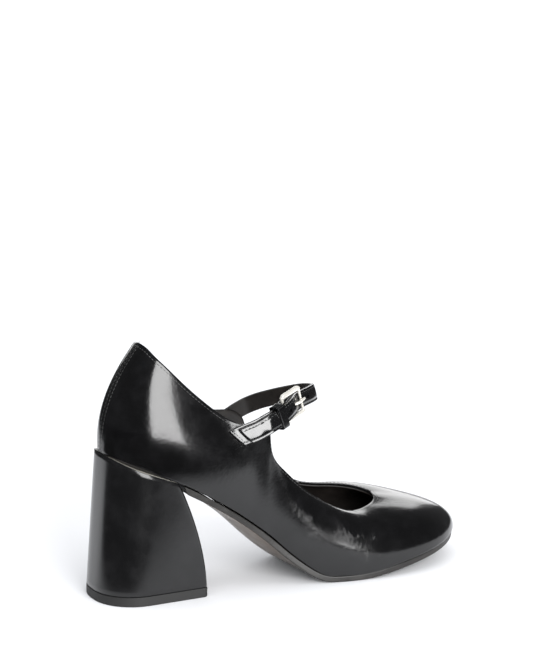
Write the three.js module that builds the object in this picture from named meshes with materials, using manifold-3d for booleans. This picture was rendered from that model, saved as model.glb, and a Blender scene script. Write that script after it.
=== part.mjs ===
// A right-foot block-heel bar shoe: a lasted leather upper on a leather sole,
// a covered block heel, and a bar strap that buckles on the outer side.
// Millimetres, +X to the toe, +Y to the inner side of the foot, +Z up.
// The origin is at the middle of the shoe's footprint, on the ground.
import * as THREE from 'three';
import { mergeVertices } from 'three/addons/utils/BufferGeometryUtils.js';
import Module from 'manifold-3d';

// ---- driving dimensions ---------------------------------------------------
const lastLength = 209; // heel back to toe tip, along the feather line
const ballWidth = 75.4; // feather line, widest across the joints
const seatRise = 75.6; // how far the back of the seat stands above the tread
const toeSpring = 12.2; // how far the toe tip is lifted off the ground
const waistBelly = 4.6; // how far the waist is rounded down in the middle
const soleThickness = 3.8;
const upperThickness = 1.3;
const liningThickness = 0.8;
const stiffenerThickness = 0.8; // heel counter and toe puff
const lastingMargin = 9; // how far the upper is turned under the foot
const insoleThickness = 1.6;
const padThickness = 1.5;
const sockThickness = 0.9;
const shankWidth = 11;
const shankThickness = 0.9;

const heelLength = 56.3; // ground contact, front to back
const heelWidth = 50.5; // ground contact, side to side
const heelBackRadius = 22.5;
const heelFlare = 6; // how far the heel's foot stands behind the seat
const breastSetback = 35; // seat back to heel breast, at the top
const topPieceThickness = 5.2;
const heelCoverThickness = 0.9;
const dowelRadius = 1.6;
const dowelLength = 12; // above the top piece
const screwRadius = 2;
const screwLength = 24;
const nailRadius = 0.8;
const nailLength = 16;

const strapWidth = 9.2;
const strapThickness = 1.1;
const strapLiningThickness = 0.7;
const chapeWidth = 10.6;
const chapeThickness = 1.1; // one leaf; the chape is folded double
const keeperWidth = 5;
const keeperThickness = 1;
const frameLength = 13.8; // hinge bar to end bar, centre to centre
const frameHeight = 13.8; // rail to rail, centre to centre
const railRadius = 1.35;
const hingeBarRadius = 0.9;
const endBarRadius = 0.75;
const prongRadius = 0.7;
const holeSpacing = 8;
const holeRadius = 0.9;

// ---- clearances -----------------------------------------------------------
const fit = 0.3; // between two pieces that lie on each other
const glueLine = 0.2; // between leather layers that are stuck together
const cementLine = 0.55; // between the layers under the foot
const pinFit = 0.3; // round a nail, screw, dowel or bar

// ---- mesh density ---------------------------------------------------------
const wallSteps = 8;

// ---- the last -------------------------------------------------------------
// Half the stations run from the centre back (first) down the outer side to
// the toe tip (last row), in the size that the last is drawn in. Columns:
// feather x, y, topline x, y, wall height, crown (0 wall .. 1 vamp), bulge.
const drawn = { length: 209, ballWidth: 75.4, seatRise: 75.6, toeSpring: 12.2, soleThickness: 3.8 };
const seatBackX = 6;
const outerStations = [
  [6, 0, 28.5, 0, 56, 0, 0.5],
  [8.5, -9.5, 29.5, -8, 56, 0, 1],
  [15.5, -17.5, 32, -13.5, 55.7, 0, 2],
  [27, -22.5, 37.5, -17, 54.4, 0, 3],
  [41, -25, 47, -20.5, 50, 0, 3.5],
  [55, -25.8, 58, -23, 47.5, 0, 3.5],
  [68, -25.5, 68.5, -24.8, 47.6, 0, 3.5],
  [76, -25.3, 77, -26.6, 49.7, 0, 3],
  [81, -25.3, 85, -27.6, 52.8, 0, 2.5],
  [85.5, -25.5, 91, -28, 53.4, 0, 2.5],
  [89.5, -25.8, 91.6, -28.2, 49, 0.05, 2.5],
  [95, -26.4, 93.5, -28.2, 45.2, 0.1, 2.5],
  [104, -28.6, 100.5, -27.9, 46, 0.2, 2.5],
  [116, -32.3, 110, -26, 46.5, 0.35, 2.5],
  [123, -34.3, 116, -25, 45.2, 0.45, 2.3],
  [130, -36, 122, -23.8, 41.2, 0.55, 2],
  [146, -39.3, 134, -21.2, 34, 0.8, 1.5],
  [163, -40.4, 146, -18.2, 26.3, 1, 1],
  [180, -38.8, 155, -14.6, 22.9, 1.05, 1],
  [195, -32.8, 161.5, -10.6, 20.6, 0.9, 1],
  [206, -22.6, 165.8, -6, 19.4, 0.6, 0.8],
  [212.6, -11.5, 168, -1.5, 19, 0.45, 0.5],
  [215, 0, 168.8, 3, 19, 0.4, 0.5],
];
const innerStations = [
  [212.8, 10.5, 168.2, 5.5, 19.6, 0.45, 0.5],
  [205.5, 20.8, 165.5, 8.3, 21.8, 0.6, 0.8],
  [193, 28.4, 160, 11.8, 25.4, 0.9, 1],
  [177, 33, 152, 15.8, 29.2, 1.05, 1],
  [161, 35, 143, 18.8, 32.8, 1, 1],
  [144, 32, 133, 21.4, 37.8, 0.8, 2],
  [128, 27.3, 123, 23, 43.2, 0.55, 3],
  [121.5, 25, 118.5, 23.6, 47.2, 0.45, 3.3],
  [115, 23, 112, 24.5, 48.4, 0.35, 3.5],
  [104.5, 20.5, 105.5, 25.4, 49, 0.2, 4],
  [97.5, 19.5, 102.4, 26, 51, 0.1, 4.5],
  [93, 19.3, 100.4, 26.4, 53.4, 0.05, 4.5],
  [88, 19.3, 95, 26.9, 53, 0, 4.5],
  [82, 19.6, 87, 26.9, 49, 0, 4],
  [76, 20.2, 79, 26.8, 45.9, 0, 4],
  [68, 21.5, 69, 26, 44.8, 0, 3.5],
  [55, 23.8, 58, 24, 45.7, 0, 3.5],
  [41, 24.6, 47, 21, 49.2, 0, 3.5],
  [27, 22.5, 37.5, 17.2, 54.4, 0, 3],
  [15.5, 17.5, 32, 13.5, 55.7, 0, 2],
  [8.5, 9.5, 29.5, 8, 56, 0, 1],
];
const stations = [...outerStations, ...innerStations];
const toeStation = outerStations.length - 1;
const innerStation = (p) => stations.length - p; // the inner side's place beside station p
const lengthGrade = lastLength / drawn.length;
const widthGrade = ballWidth / drawn.ballWidth;

// A smooth curve through [x, value] points that never overshoots them.
function smoothCurve(points) {
  const slope = (i) => (points[i + 1][1] - points[i][1]) / (points[i + 1][0] - points[i][0]);
  const tangent = (i) => {
    if (i === 0 || i === points.length - 1) return 0;
    const [a, b] = [slope(i - 1), slope(i)];
    return a * b <= 0 ? 0 : (2 * a * b) / (a + b);
  };
  return (x) => {
    if (x <= points[0][0]) return points[0][1] + slope(0) * (x - points[0][0]);
    const last = points.length - 1;
    if (x >= points[last][0]) return points[last][1];
    const i = points.findIndex((point, k) => k < last && x < points[k + 1][0]);
    const span = points[i + 1][0] - points[i][0];
    const s = (x - points[i][0]) / span;
    const h00 = (1 + 2 * s) * (1 - s) ** 2;
    const h10 = s * (1 - s) ** 2;
    const h01 = s * s * (3 - 2 * s);
    const h11 = s * s * (s - 1);
    const m0 = i === 0 ? slope(0) : tangent(i);
    return h00 * points[i][1] + h10 * span * m0 + h01 * points[i + 1][1] + h11 * span * tangent(i + 1);
  };
}

// The seat, waist and tread line of the last as shares of seatRise and toeSpring.
const seatShare = smoothCurve([
  [6, 1], [16, 0.931], [28.7, 0.862], [38.2, 0.81], [51, 0.72], [65.7, 0.6], [80.2, 0.465],
  [92.7, 0.33], [104.2, 0.18], [112, 0.09], [119, 0.03], [125, 0],
]);
const springStart = 146; // in front of the tread, where the toe starts to lift
const springShare = smoothCurve([
  [springStart, 0], [158, 0.2], [174, 0.45], [190, 0.68], [206, 0.9], [216, 1],
]);

const gradeX = (x) => seatBackX + (x - seatBackX) * lengthGrade;
const ungradeX = (x) => seatBackX + (x - seatBackX) / lengthGrade;

// The bed's height at a place on the drawn last, for a sole, seat and toe of given size.
const bedLine = (x, { soleThickness: sole, seatRise: rise, toeSpring: spring }) =>
  sole + rise * seatShare(x) + (x < springStart ? 0 : spring * springShare(x));

// How far the middle of the waist hangs below its edges.
const bellyStart = 58;
const bellyShare = smoothCurve([[bellyStart, 0], [80, 0.45], [93, 1], [104, 0.75], [116, 0.12], [122, 0]]);
const bellyMiddleY = -2;
const bellyHalfWidth = 24;

function bedHeight(x, y = Infinity) {
  const drawnX = ungradeX(x);
  const offMiddle = (y - bellyMiddleY * widthGrade) / (bellyHalfWidth * widthGrade);
  const belly = drawnX < bellyStart ? 0 : waistBelly * bellyShare(drawnX) * Math.max(0, 1 - offMiddle ** 2);
  return bedLine(drawnX, { soleThickness, seatRise, toeSpring }) - belly;
}

// A point on the sheet that lies `above` the feather line's surface.
function bedPoint(x, y, above) {
  const step = 0.5;
  const fall = (bedHeight(x + step, y) - bedHeight(x - step, y)) / (2 * step);
  const scale = above / Math.hypot(1, fall);
  return new THREE.Vector3(x - fall * scale, y, bedHeight(x, y) + scale);
}

// The station row at any place `p` round the feather line, by Catmull-Rom.
function stationAt(p) {
  const count = stations.length;
  const wrapped = ((p % count) + count) % count;
  const i = Math.floor(wrapped);
  const s = wrapped - i;
  const rows = [-1, 0, 1, 2].map((k) => stations[(i + k + count) % count]);
  const [fx, fy, tx, ty, height, crown, bulge] = rows[0].map((_, column) => {
    const [a, b, c, d] = rows.map((row) => row[column]);
    return b + 0.5 * s * (c - a + s * (2 * a - 5 * b + 4 * c - d + s * (3 * (b - c) + d - a)));
  });
  return {
    foot: new THREE.Vector2(gradeX(fx), fy * widthGrade),
    top: new THREE.Vector2(gradeX(tx), ty * widthGrade),
    height,
    crown: Math.max(crown, 0),
    bulge,
  };
}

function outward(p) {
  const step = 0.05;
  const along = stationAt(p + step).foot.sub(stationAt(p - step).foot).normalize();
  return new THREE.Vector2(along.y, -along.x);
}

// The outer face of the upper: t runs from the feather line to the topline.
function wallPoint(p, t) {
  const { foot, top, height, crown, bulge } = stationAt(p);
  const normal = outward(p);
  const base = bedHeight(foot.x, foot.y);
  const lowRise = 0.33 + 0.25 * crown;
  const highReach = 0.33 + 0.13 * crown;
  const highRise = 0.67 + 0.3 * crown;
  const low = foot.clone().addScaledVector(normal, bulge * 1.8);
  const high = foot.clone().lerp(top, highReach).addScaledVector(normal, bulge * 0.6);
  const weights = [(1 - t) ** 3, 3 * t * (1 - t) ** 2, 3 * t * t * (1 - t), t ** 3];
  const corners = [
    [foot.x, foot.y, base],
    [low.x, low.y, base + height * lowRise],
    [high.x, high.y, base + height * highRise],
    [top.x, top.y, base + height],
  ];
  return new THREE.Vector3(...[0, 1, 2].map((axis) =>
    corners.reduce((sum, corner, k) => sum + weights[k] * corner[axis], 0)));
}

function wallNormal(p, t) {
  const step = 0.02;
  const alongLoop = wallPoint(p + step, t).sub(wallPoint(p - step, t));
  const upWall = wallPoint(p, Math.min(t + step, 1)).sub(wallPoint(p, Math.max(t - step, 0)));
  return alongLoop.cross(upWall).normalize();
}

const offWall = (p, t, depth) => wallPoint(p, t).addScaledVector(wallNormal(p, t), -depth);

// The feather line drawn in by `inset`, as a point on the ground plan.
const insetFoot = (p, inset) => stationAt(p).foot.addScaledVector(outward(p), -inset);

// ---- mesh helpers ---------------------------------------------------------
// A closed body from rows of points. Each row is a closed band: its first
// half runs one way and its second half runs back, so an end row can be capped.
function skin(rows, loops = false) {
  const width = rows[0].length;
  const positions = rows.flat().flatMap((point) => [point.x, point.y, point.z]);
  const index = [];
  const at = (i, j) => (i % rows.length) * width + (j % width);
  const bands = loops ? rows.length : rows.length - 1;
  for (let i = 0; i < bands; i += 1) {
    for (let j = 0; j < width; j += 1) {
      index.push(at(i, j), at(i + 1, j), at(i + 1, j + 1), at(i, j), at(i + 1, j + 1), at(i, j + 1));
    }
  }
  if (!loops) {
    for (let k = 0; k < width / 2 - 1; k += 1) {
      const back = width - 1 - k;
      index.push(at(0, k), at(0, k + 1), at(0, back - 1), at(0, k), at(0, back - 1), at(0, back));
      const end = rows.length - 1;
      index.push(at(end, k), at(end, back - 1), at(end, k + 1));
      index.push(at(end, k), at(end, back), at(end, back - 1));
    }
  }
  const geometry = new THREE.BufferGeometry();
  geometry.setAttribute('position', new THREE.Float32BufferAttribute(positions, 3));
  geometry.setIndex(index);
  return facingOut(geometry);
}

// Welds the corners, drops faces that have no area and turns the faces out.
function facingOut(geometry) {
  const bare = geometry.clone();
  bare.deleteAttribute('normal');
  bare.deleteAttribute('uv');
  const welded = mergeVertices(bare, 1e-4);
  const place = welded.getAttribute('position');
  const corner = (i) => new THREE.Vector3().fromBufferAttribute(place, i);
  const faces = [];
  let volume = 0;
  for (let i = 0; i < welded.index.count; i += 3) {
    const [a, b, c] = [0, 1, 2].map((k) => welded.index.getX(i + k));
    if (a !== b && b !== c && a !== c) {
      faces.push([a, b, c]);
      volume += corner(a).dot(corner(b).cross(corner(c)));
    }
  }
  welded.setIndex(faces.flatMap(([a, b, c]) => (volume > 0 ? [a, b, c] : [a, c, b])));
  return welded;
}

const wasm = await Module();
wasm.setup();

function toSolid(geometry) {
  const clean = facingOut(geometry);
  return new wasm.Manifold(new wasm.Mesh({
    numProp: 3,
    vertProperties: new Float32Array(clean.getAttribute('position').array),
    triVerts: new Uint32Array(clean.index.array),
  }));
}

function toGeometry(solid) {
  const mesh = solid.getMesh();
  const geometry = new THREE.BufferGeometry();
  geometry.setAttribute('position', new THREE.Float32BufferAttribute(mesh.vertProperties, 3));
  geometry.setIndex(Array.from(mesh.triVerts));
  return geometry;
}

const cut = (body, tools) =>
  toGeometry(tools.reduce((solid, tool) => solid.subtract(toSolid(tool)), toSolid(body)));
const join = (parts) =>
  toGeometry(parts.slice(1).reduce((solid, part) => solid.add(toSolid(part)), toSolid(parts[0])));

const range = (count) => Array.from({ length: count }, (_, i) => i);
const spread = (from, to, steps) => range(steps + 1).map((i) => from + ((to - from) * i) / steps);

// The stations from one place to another, with every whole station between, so
// that the facets of neighbouring layers lie parallel.
function placesBetween(from, to) {
  const whole = range(Math.floor(to) - Math.ceil(from) + 1).map((i) => Math.ceil(from) + i);
  return [...new Set([from, ...whole, to])];
}

// ---- sheets under the foot ------------------------------------------------
// A sheet on the last's bottom between two heights, from one station to
// another; the outer side's station p is paired with the inner side's.
function bottomSheet({ inset, low, high, from = 0, to = toeStation, halfWidth = Infinity }) {
  const level = (value, at) => (typeof value === 'function' ? value(at) : value);
  const across = spread(0, 1, 8);
  const rows = placesBetween(from, to).map((p) => {
    const outer = insetFoot(p, level(inset, p));
    const inner = insetFoot(-p, level(inset, p));
    const middle = (outer.y + inner.y) / 2;
    outer.y = Math.max(outer.y, middle - halfWidth);
    inner.y = Math.min(inner.y, middle + halfWidth);
    const place = (share, value) => {
      const plan = outer.clone().lerp(inner, share);
      return bedPoint(plan.x, plan.y, level(value, plan.x));
    };
    const below = across.map((share) => place(share, low));
    const above = across.map((share) => place(share, high)).reverse();
    return [...below, ...above];
  });
  return skin(rows);
}

// The station whose feather point lies at a given x on the outer side.
function stationAtX(x) {
  let [low, high] = [0, toeStation];
  for (let i = 0; i < 30; i += 1) {
    const middle = (low + high) / 2;
    if (stationAt(middle).foot.x < x) low = middle;
    else high = middle;
  }
  return high;
}

// ---- walls ----------------------------------------------------------------
// The upper is one ring: outer face, turned-under margin and inner face.
function upperShell() {
  const tops = spread(0, 1, wallSteps);
  const rows = stations.map((_, p) => {
    const under = insetFoot(p, lastingMargin);
    const corner = insetFoot(p, upperThickness);
    return [
      ...tops.slice().reverse().map((t) => wallPoint(p, t)),
      bedPoint(under.x, under.y, 0),
      bedPoint(under.x, under.y, upperThickness),
      bedPoint(corner.x, corner.y, upperThickness),
      ...tops.slice(1).map((t) => offWall(p, t, upperThickness)),
    ];
  });
  return skin(rows, true);
}

// Where the counter and the toe puff lie, in stations and share of the wall.
const counterSpan = { reach: 4, high: 0.7 };
const puffSpan = { reach: 4, high: 0.5 };
const stiffenerBlend = { stations: 0.8, share: 0.12 };

const fade = (value, edge, width) => 1 - THREE.MathUtils.smoothstep(value, edge, edge + width);

// 1 where a stiffener lies under the lining, 0 away from it.
function stiffened(p, t) {
  const fromBack = Math.min(Math.abs(p), Math.abs(p - stations.length));
  const fromToe = Math.abs(p - toeStation);
  const zone = (distance, span) =>
    fade(distance, span.reach + 0.1, stiffenerBlend.stations) * fade(t, span.high + 0.02, stiffenerBlend.share);
  return Math.max(zone(fromBack, counterSpan), zone(fromToe, puffSpan));
}

const liningDepth = (p, t) =>
  upperThickness + glueLine + stiffened(p, t) * (stiffenerThickness + 1.5 * glueLine);

// A shell on the inside of the wall between two stations.
function wallShell({ from, to, top, depth, thickness }) {
  const shares = [...spread(0, 1, wallSteps).slice(1).filter((t) => t < top), top];
  const rows = placesBetween(from, to).map((p) => {
    const face = (extra) => shares.map((t) => offWall(p, t, depth(p, t) + extra));
    return [...face(0), ...face(thickness).reverse()];
  });
  return skin(rows);
}

function stiffener(middle, span) {
  return wallShell({
    from: middle - span.reach,
    to: middle + span.reach,
    top: span.high,
    depth: () => upperThickness + glueLine,
    thickness: stiffenerThickness,
  });
}

const gripStation = 3; // edge of the heel grip
const seamStation = 12; // where the quarter lining meets the vamp lining
const liningGap = 0.06; // stations between two lining pieces, edge to edge
const lining = (from, to) => wallShell({
  from: from + liningGap,
  to: to - liningGap,
  top: 0.995,
  depth: liningDepth,
  thickness: liningThickness,
});

// ---- heel -----------------------------------------------------------------
const seatTop = -fit; // the heel's top lies just under the lasted seat
const breastX = seatBackX + breastSetback;
const heelBottomBack = seatBackX - heelFlare;
const seatHalfWidth = stationAt(stationAtX(breastX)).foot.y * -1;

// A rounded-D outline: straight breast at the front, round corners behind.
function heelOutline(back, front, halfWidth, backRadius, grow) {
  const outline = [];
  const arc = (cx, cy, radius, from, to, steps) => {
    for (const angle of spread(from, to, steps)) {
      outline.push(new THREE.Vector2(cx + radius * Math.cos(angle), cy + radius * Math.sin(angle)));
    }
  };
  const corner = 2.5;
  const half = halfWidth + grow;
  const rear = backRadius + grow;
  arc(front + grow - corner, half - corner, corner, 0, Math.PI / 2, 3);
  arc(back - grow + rear, half - rear, rear, Math.PI / 2, Math.PI, 9);
  arc(back - grow + rear, rear - half, rear, Math.PI, Math.PI * 1.5, 9);
  arc(front + grow - corner, corner - half, corner, Math.PI * 1.5, Math.PI * 2, 3);
  return outline;
}

// The heel's outline `down` from the seat (0) to the floor of the block (1).
function heelRing(down, grow, topLevel, bottomLevel) {
  const breastCurve = 1 - (1 - down) ** 1.7;
  const back = THREE.MathUtils.lerp(seatBackX, heelBottomBack, down);
  const front = THREE.MathUtils.lerp(breastX, heelBottomBack + heelLength, breastCurve);
  const half = THREE.MathUtils.lerp(seatHalfWidth, heelWidth / 2, down);
  const radius = THREE.MathUtils.lerp(heelBackRadius - 1.5, heelBackRadius, down);
  const topOutline = heelOutline(seatBackX, breastX, seatHalfWidth, heelBackRadius - 1.5, grow);
  return heelOutline(back, front, half, radius, grow).map((plan, k) => {
    const seat = bedPoint(topOutline[k].x, topOutline[k].y, topLevel).z;
    return new THREE.Vector3(plan.x, plan.y, THREE.MathUtils.lerp(seat, bottomLevel, down));
  });
}

const heelLevels = spread(0, 1, 6);
function heelSolid(grow, topLevel, bottomLevel) {
  return skin(heelLevels.map((down) => heelRing(down, grow, topLevel, bottomLevel)));
}

const blockFloor = topPieceThickness + fit;
const blockInset = -heelCoverThickness - glueLine;

function heelCover() {
  const rows = range(heelRing(0, 0, 0, 0).length).map((k) => {
    const face = (grow) => heelLevels.map((down) => heelRing(down, grow, seatTop, blockFloor)[k]);
    return [...face(0), ...face(-heelCoverThickness).reverse()];
  });
  return skin(rows, true);
}

function upright(radius, bottom, top, x, y, sides = 10) {
  const pin = new THREE.CylinderGeometry(radius, radius, top - bottom, sides);
  pin.rotateX(Math.PI / 2);
  pin.translate(x, y, (top + bottom) / 2);
  return pin;
}

const heelMiddleX = heelBottomBack + heelLength / 2;
const dowelPlaces = [heelMiddleX - 11, heelMiddleX + 11];
const screwX = seatBackX + 22;
const nailSpread = { x: 7, y: 7 };
const nailPlaces = [-1, 1].flatMap((side) => [
  [screwX - nailSpread.x, side * nailSpread.y],
  [screwX + nailSpread.x, side * nailSpread.y],
]);
const insoleLow = upperThickness + cementLine + 0.05;
const insoleHigh = insoleLow + insoleThickness;
const headHeight = 0.8;

// Puts a shape drawn about the y axis square to the insole's top face.
function squareToInsole(geometry, x, y) {
  const seat = bedPoint(x, y, insoleHigh);
  const tilt = Math.atan2(bedHeight(x - 0.5) - bedHeight(x + 0.5), 1);
  return geometry.rotateX(Math.PI / 2).rotateY(tilt).translate(seat.x, seat.y, seat.z);
}

// A pin driven in from the insole, with a flat head that rests on the insole.
function drivenPin(x, y, radius, length, headRadius) {
  const headLow = fit / 2;
  const outline = [
    [0, -length],
    [radius, radius - length],
    [radius, headLow],
    [headRadius, headLow],
    [headRadius, headLow + headHeight],
    [0, headLow + headHeight],
  ].map(([r, z]) => new THREE.Vector2(r, z));
  return squareToInsole(new THREE.LatheGeometry(outline, 10), x, y);
}

function pinBore(x, y, radius, length) {
  const bore = new THREE.CylinderGeometry(radius + pinFit, radius + pinFit, length + 4, 10);
  return squareToInsole(bore.translate(0, 2 - length / 2 - pinFit, 0), x, y);
}

// ---- the strap line -------------------------------------------------------
// The line that the strap follows: along the outer wall, across the instep
// and down on the inner wall. Ends are places on the walls, so that the chape
// and the strap's root lie on the leather whatever the size.
const graded = (x, y, z) =>
  new THREE.Vector3(gradeX(x), y * widthGrade, z + bedHeight(gradeX(x)) - bedLine(x, drawn));

const strapLine = new THREE.CatmullRomCurve3([
  wallPoint(6.75, 0.88),
  wallPoint(7.9, 0.965),
  graded(91.5, -28.4, 93),
  graded(96, -26.9, 94.6),
  graded(101.5, -24, 96.3),
  graded(108, -20.2, 97.6),
  graded(114, -15.8, 98.3),
  graded(124, -8.8, 98.5),
  graded(131, 0.5, 97.2),
  graded(128.5, 11, 94.8),
  graded(120.5, 19.5, 91.6),
  graded(111.5, 25, 88.4),
  graded(103.5, 28.2, 84.9),
  wallPoint(innerStation(8.9), 0.92),
  wallPoint(innerStation(8.2), 0.85),
], false, 'centripetal');
const strapRun = strapLine.getLength();
const lean = new THREE.Vector3(-0.28, 0, 1);

// The line's place, its direction, its width direction and its outward side.
function lineFrame(run) {
  const share = THREE.MathUtils.clamp(run / strapRun, 0, 1);
  const place = strapLine.getPointAt(share);
  const along = strapLine.getTangentAt(share);
  const across = lean.clone().addScaledVector(along, -lean.dot(along)).normalize();
  return { place, along, across, out: along.clone().cross(across) };
}

function runNearX(x, from, to) {
  const nearest = spread(from, to, 400).map((run) => [Math.abs(lineFrame(run).place.x - x), run]);
  return nearest.sort((a, b) => a[0] - b[0])[0][1];
}

const barX = 101.5; // where the hinge bar stands, on the drawn last
const barRun = runNearX(gradeX(barX), 0, strapRun / 2);
const endBarRun = barRun + frameLength;
const tipRun = 3; // where the strap's free end stops
const chapeTop = hingeBarRadius + pinFit + chapeThickness;
const strapStack = strapThickness + glueLine + strapLiningThickness;
const liningOverChape = chapeTop + fit;
const liningUnderEndBar = -0.6;
const liningOnWall = fit + 0.25;
const endBarOut = liningUnderEndBar + strapStack + fit + endBarRadius;

// How far the strap lining's inner face stands off the line: it dips from over
// the hinge bar to under the end bar, and settles onto the inner wall at its root.
const rootSettle = { start: 40, end: 18 };
function strapStandOff(run) {
  const down = THREE.MathUtils.smoothstep(run, barRun + 0.5, endBarRun - 1.5);
  const root = THREE.MathUtils.smoothstep(run, strapRun - rootSettle.start, strapRun - rootSettle.end);
  const over = THREE.MathUtils.lerp(liningOverChape, liningUnderEndBar, down);
  return THREE.MathUtils.lerp(over, liningOnWall, root);
}

// A strip along the line, between two distances off it.
function ribbon(from, to, width, low, high, step = 2.5) {
  const sides = spread(-width / 2, width / 2, 3);
  const rows = spread(from, to, Math.ceil((to - from) / step)).map((run) => {
    const { place, across, out } = lineFrame(run);
    const face = (off) => sides.map((side) => place.clone()
      .addScaledVector(out, off(run))
      .addScaledVector(across, side));
    return [...face(low), ...face(high).reverse()];
  });
  return skin(rows);
}

// ---- buckle ---------------------------------------------------------------
// The buckle's own frame: x from hinge bar to end bar, y outward, z across.
const bar = lineFrame(barRun);
const endBar = lineFrame(endBarRun);
const buckleAcross = bar.across;
const buckleAlong = endBar.place.clone().sub(bar.place);
buckleAlong.addScaledVector(buckleAcross, -buckleAlong.dot(buckleAcross)).normalize();
const buckleOut = buckleAlong.clone().cross(buckleAcross);
const buckleToShoe = new THREE.Matrix4()
  .makeBasis(buckleAlong, buckleOut, buckleAcross)
  .setPosition(bar.place);

// Puts a shape drawn in the buckle's own frame, which is left-handed, on the shoe.
const onBuckle = (geometry) => facingOut(geometry.applyMatrix4(buckleToShoe));

// A rod along a list of [x, y, z, radius], closed into a loop or capped.
function rod(points, loops, sides = 8) {
  const centres = points.map(([x, y, z]) => new THREE.Vector3(x, y, z));
  const rows = points.map(([, , , radius], i) => {
    const before = loops ? centres.at(i - 1) : centres[Math.max(i - 1, 0)];
    const after = loops ? centres[(i + 1) % centres.length] : centres[Math.min(i + 1, centres.length - 1)];
    const along = after.clone().sub(before).normalize();
    const side = new THREE.Vector3(0, 1, 0);
    side.addScaledVector(along, -side.dot(along)).normalize();
    const up = along.clone().cross(side);
    return range(sides).map((k) => {
      const angle = (2 * Math.PI * (k + 0.5)) / sides;
      return centres[i].clone()
        .addScaledVector(side, radius * Math.cos(angle))
        .addScaledVector(up, radius * Math.sin(angle));
    });
  });
  return skin(rows, loops);
}

function buckleFrame() {
  const half = frameHeight / 2;
  const rise = (x) => endBarOut * (x / frameLength);
  const turn = 1.2;
  const railPoint = (x, side) => [x, rise(x), side * half, railRadius];
  const rail = (side) => [turn, frameLength * 0.35, frameLength * 0.65, frameLength - turn]
    .map((x) => railPoint(x, side));
  const inside = half - railRadius - 0.6;
  return rod([
    [0, 0, -inside, hingeBarRadius],
    [0, 0, inside, hingeBarRadius],
    [0.2, 0.1, half - 0.7, railRadius],
    ...rail(1),
    [frameLength - 0.1, endBarOut, half - 0.7, railRadius * 0.9],
    [frameLength, endBarOut, inside, endBarRadius],
    [frameLength, endBarOut, -inside, endBarRadius],
    [frameLength - 0.1, endBarOut, 0.7 - half, railRadius * 0.9],
    ...rail(-1).reverse(),
    [0.2, 0.1, 0.7 - half, railRadius],
  ], true);
}

const prongEyeInner = hingeBarRadius + pinFit;
const prongEyeOuter = prongEyeInner + 0.9;
const prongRest = endBarOut + endBarRadius + fit + 0.1 + prongRadius;
const prongRise = 6.2; // hinge bar to where the prong clears the strap

function prongShape() {
  const ring = new THREE.Shape().absarc(0, 0, prongEyeOuter, 0, Math.PI * 2, false);
  ring.holes.push(new THREE.Path().absarc(0, 0, prongEyeInner, 0, Math.PI * 2, true));
  const eye = new THREE.ExtrudeGeometry(ring, { depth: 2 * prongRadius, bevelEnabled: false, curveSegments: 6 });
  eye.translate(0, 0, -prongRadius);
  const arm = rod([
    [prongEyeInner + 0.3, 0.6, 0, prongRadius],
    [prongRise * 0.55, prongRest * 0.62, 0, prongRadius],
    [prongRise, prongRest, 0, prongRadius],
    [frameLength, prongRest, 0, prongRadius],
    [frameLength + 1.6, prongRest - 0.15, 0, prongRadius * 0.8],
  ], false);
  return join([eye, arm]);
}

// The chape is folded round the hinge bar and sewn to the outer wall.
const chapeEnd = 0.2;
const eyeLength = 5; // bar to where the two leaves meet
function chapeShape() {
  const inner = hingeBarRadius + pinFit;
  const strip = ribbon(
    chapeEnd,
    barRun - eyeLength * 0.6,
    chapeWidth,
    () => 2 * fit,
    () => chapeTop,
  );
  const fold = new THREE.Shape();
  fold.moveTo(-eyeLength, chapeTop - 0.05);
  fold.absarc(0, 0, chapeTop, Math.PI / 2, -Math.PI / 2, true);
  fold.lineTo(-eyeLength * 0.45, -chapeTop * 0.75);
  fold.lineTo(-eyeLength, fit + 0.1);
  fold.holes.push(new THREE.Path().absarc(0, 0, inner, 0, Math.PI * 2, false));
  const eyeWidth = frameHeight - 2 * (railRadius + fit + 0.1);
  const eye = new THREE.ExtrudeGeometry(fold, { depth: eyeWidth, bevelEnabled: false, curveSegments: 6 });
  eye.translate(0, 0, -eyeWidth / 2);
  eye.applyMatrix4(buckleToShoe);
  const slot = new THREE.BoxGeometry(2 * eyeLength * 0.72, 4 * chapeTop, 2 * (prongRadius + pinFit));
  slot.applyMatrix4(buckleToShoe);
  return cut(join([strip, eye]), [slot]);
}

// A leather loop round the chape and the strap's free end.
const keeperSetback = 7.4; // hinge bar to the middle of the keeper
const keeperRun = barRun - keeperSetback;
function keeperShape() {
  const frames = spread(keeperRun - keeperWidth / 2, keeperRun + keeperWidth / 2, 2).map(lineFrame);
  const inner = { side: chapeWidth / 2 + fit, low: -fit, high: liningOverChape + strapStack + fit };
  const loop = (grow) => {
    const corner = 1 + grow;
    const [side, low, high] = [inner.side + grow, inner.low - grow, inner.high + grow];
    const arcs = [[side, low, -0.5], [side, high, 0], [-side, high, 0.5], [-side, low, 1]];
    return arcs.flatMap(([cornerSide, cornerOff, start]) => {
      const cx = cornerSide - Math.sign(cornerSide) * corner;
      const cy = cornerOff === high ? high - corner : low + corner;
      return spread(start * Math.PI, (start + 0.5) * Math.PI, 3).map((angle) =>
        [cx + corner * Math.cos(angle), cy + corner * Math.sin(angle)]);
    });
  };
  const [inside, outside] = [loop(0), loop(keeperThickness)];
  const rows = range(inside.length).map((k) => {
    const face = ([side, off]) => frames.map(({ place, across, out }) =>
      place.clone().addScaledVector(across, side).addScaledVector(out, off));
    return [...face(inside[k]), ...face(outside[k]).reverse()];
  });
  return skin(rows, true);
}

// ---- strap ----------------------------------------------------------------
function punch(run, length) {
  const { place, along, across, out } = lineFrame(run);
  const pin = new THREE.CylinderGeometry(holeRadius, holeRadius, 16, 10);
  pin.scale(length, 1, 1);
  pin.applyMatrix4(new THREE.Matrix4().makeBasis(along, out, across).setPosition(place));
  return pin;
}

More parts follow.
